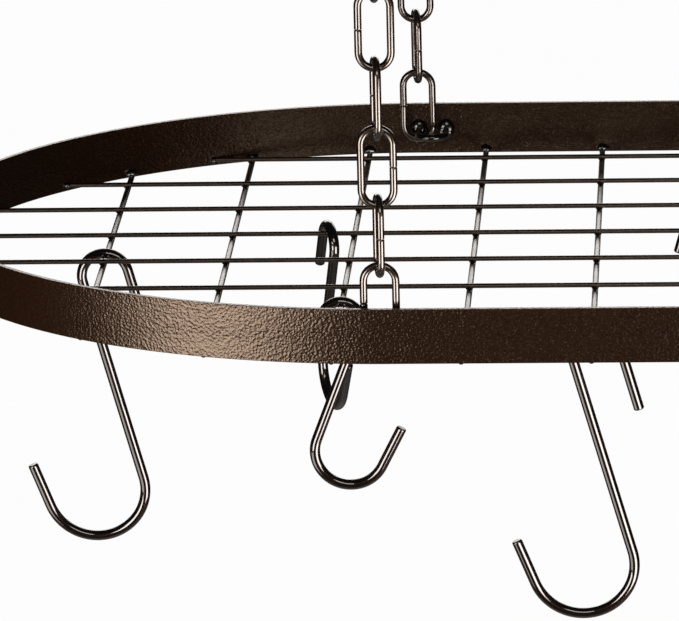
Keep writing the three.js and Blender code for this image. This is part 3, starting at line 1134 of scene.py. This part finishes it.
def backdrop_mask(tree):
    """1 for camera rays, and for mirrored or transmitted ones that go to the far side."""
    rays = tree.nodes.new("ShaderNodeLightPath").outputs
    direction = tree.nodes.new("ShaderNodeTexCoord").outputs["Generated"]
    split = tree.nodes.new("ShaderNodeSeparateXYZ")
    tree.links.new(direction, split.inputs["Vector"])
    far_side = tree.nodes.new("ShaderNodeMapRange")
    far_side.interpolation_type = "SMOOTHSTEP"
    far_side.inputs["From Min"].default_value = BACKDROP_START
    far_side.inputs["From Max"].default_value = BACKDROP_FULL
    tree.links.new(split.outputs["Y"], far_side.inputs["Value"])
    mirrored = clamped(tree, "ADD", rays["Is Glossy Ray"], rays["Is Transmission Ray"])
    behind = clamped(tree, "MULTIPLY", mirrored, far_side.outputs["Result"])
    return clamped(tree, "ADD", rays["Is Camera Ray"], behind)


class RACK_OT_stage(bpy.types.Operator):
    """Set up the floor, the soft lights, the background and the camera"""

    bl_idname = "rack.stage"
    bl_label = "Studio Stage"
    bl_options = {"REGISTER", "UNDO"}

    def execute(self, context):
        self.make_floor(context)
        self.make_world(context)
        self.make_softboxes()
        self.make_camera(context)
        context.scene.view_settings.view_transform = "Standard"
        return {"FINISHED"}

    def make_floor(self, context):
        """A pale floor that the camera sees as plain white."""
        floor = add_shape("plane", "floor", size=FLOOR_SIZE, location=(0.0, 0.0, FLOOR_LEVEL))
        nodes = FinishNodes("studio_floor")
        base = (*context.scene.rack_colours.floor, 1.0)
        nodes.set(Base_Color=base, Roughness=FLOOR_ROUGHNESS)
        tree = nodes.tree
        glow = tree.nodes.new("ShaderNodeEmission")
        seen = tree.nodes.new("ShaderNodeLightPath").outputs["Is Camera Ray"]
        share = tree.nodes.new("ShaderNodeMath")
        share.operation = "MULTIPLY"
        share.inputs[1].default_value = FLOOR_GLOW
        tree.links.new(seen, share.inputs[0])
        mix = tree.nodes.new("ShaderNodeMixShader")
        tree.links.new(share.outputs["Value"], mix.inputs["Fac"])
        tree.links.new(nodes.shader.outputs["BSDF"], mix.inputs[1])
        tree.links.new(glow.outputs["Emission"], mix.inputs[2])
        tree.links.new(mix.outputs["Shader"], tree.nodes["Material Output"].inputs["Surface"])
        floor.data.materials.append(nodes.material)

    def make_world(self, context):
        """A white backdrop on a dim world."""
        world = bpy.data.worlds.new("studio")
        world.use_nodes = True
        tree = world.node_tree
        mix = tree.nodes.new("ShaderNodeMix")
        mix.data_type = "RGBA"
        mix.inputs["A"].default_value = DIM
        mix.inputs["B"].default_value = WHITE
        tree.links.new(backdrop_mask(tree), mix.inputs["Factor"])
        tree.links.new(mix.outputs["Result"], tree.nodes["Background"].inputs["Color"])
        context.scene.world = world

    def make_softboxes(self):
        """Area lights round the rack, which the camera doesn't see."""
        for name, azimuth, elevation, distance, width, height, radiance, off_band in SOFTBOXES:
            across, up = math.radians(azimuth), math.radians(elevation)
            direction = Vector((
                math.sin(across) * math.cos(up),
                -math.cos(across) * math.cos(up),
                math.sin(up),
            ))
            clear_selection()
            bpy.ops.object.light_add(type="AREA", location=SOFTBOX_TARGET + direction * distance)
            lamp = bpy.context.object
            lamp.name = name
            lamp.rotation_euler = direction.to_track_quat("Z", "Y").to_euler()
            lamp.data.shape = "RECTANGLE"
            lamp.data.size = width
            lamp.data.size_y = height
            lamp.data.energy = radiance * math.pi * width * height
            lamp.data.color = SOFTBOX_COLOUR
            lamp.visible_camera = False
            if off_band:
                band = bpy.data.objects["band"]
                band.select_set(True)
                bpy.ops.object.light_linking_receivers_link(link_state="EXCLUDE")

    def make_camera(self, context):
        """The camera of the photo."""
        forward = Vector((
            math.sin(CAMERA_YAW) * math.cos(CAMERA_PITCH),
            math.cos(CAMERA_YAW) * math.cos(CAMERA_PITCH),
            -math.sin(CAMERA_PITCH),
        ))
        level_right = Vector((math.cos(CAMERA_YAW), -math.sin(CAMERA_YAW), 0.0))
        level_down = forward.cross(level_right)
        right = math.cos(CAMERA_ROLL) * level_right + math.sin(CAMERA_ROLL) * level_down
        down = -math.sin(CAMERA_ROLL) * level_right + math.cos(CAMERA_ROLL) * level_down
        clear_selection()
        bpy.ops.object.camera_add(location=CAMERA_PLACE)
        camera = bpy.context.object
        camera.name = "photo_camera"
        axes = Matrix((right, -down, -forward)).transposed()
        camera.rotation_euler = axes.to_euler()
        camera.data.sensor_fit = "HORIZONTAL"
        camera.data.sensor_width = CAMERA_SENSOR
        camera.data.lens = CAMERA_LENS
        context.scene.camera = camera


# ---- Panel and registration ---------------------------------------------


OPERATORS = (
    RACK_OT_band,
    RACK_OT_cross_wires,
    RACK_OT_long_wires,
    RACK_OT_chains,
    RACK_OT_eyes,
    RACK_OT_ceiling_hooks,
    RACK_OT_pot_hooks,
    RACK_OT_stage,
)

GROUPS = {
    "rack_band": RackBandSizes,
    "rack_grid": RackGridSizes,
    "rack_chain": RackChainSizes,
    "rack_ceiling_hook": RackCeilingHookSizes,
    "rack_pot_hook": RackPotHookSizes,
    "rack_colours": RackColours,
}


class RACK_PT_panel(bpy.types.Panel):
    """Lists the rack's pieces, sizes and colours"""

    bl_idname = "RACK_PT_panel"
    bl_label = "Pot Rack"
    bl_space_type = "VIEW_3D"
    bl_region_type = "UI"
    bl_category = "Pot Rack"

    def draw(self, context):
        for operator in OPERATORS:
            self.layout.operator(operator.bl_idname)
        for group in GROUPS:
            box = self.layout.box()
            settings = getattr(context.scene, group)
            box.label(text=settings.bl_rna.description)
            for key in settings.bl_rna.properties.keys():
                if key not in {"rna_type", "name"}:
                    box.prop(settings, key)


CLASSES = (*GROUPS.values(), *OPERATORS, RACK_PT_panel)


def register():
    for kind in CLASSES:
        bpy.utils.register_class(kind)
    for name, group in GROUPS.items():
        setattr(bpy.types.Scene, name, PointerProperty(type=group))


def unregister():
    for name in GROUPS:
        delattr(bpy.types.Scene, name)
    for kind in reversed(CLASSES):
        bpy.utils.unregister_class(kind)


def main():
    """Makes every piece and the stage."""
    register()
    for operator in OPERATORS:
        getattr(bpy.ops.rack, operator.bl_idname.removeprefix("rack."))()
    clear_selection()


if __name__ == "__main__":
    main()
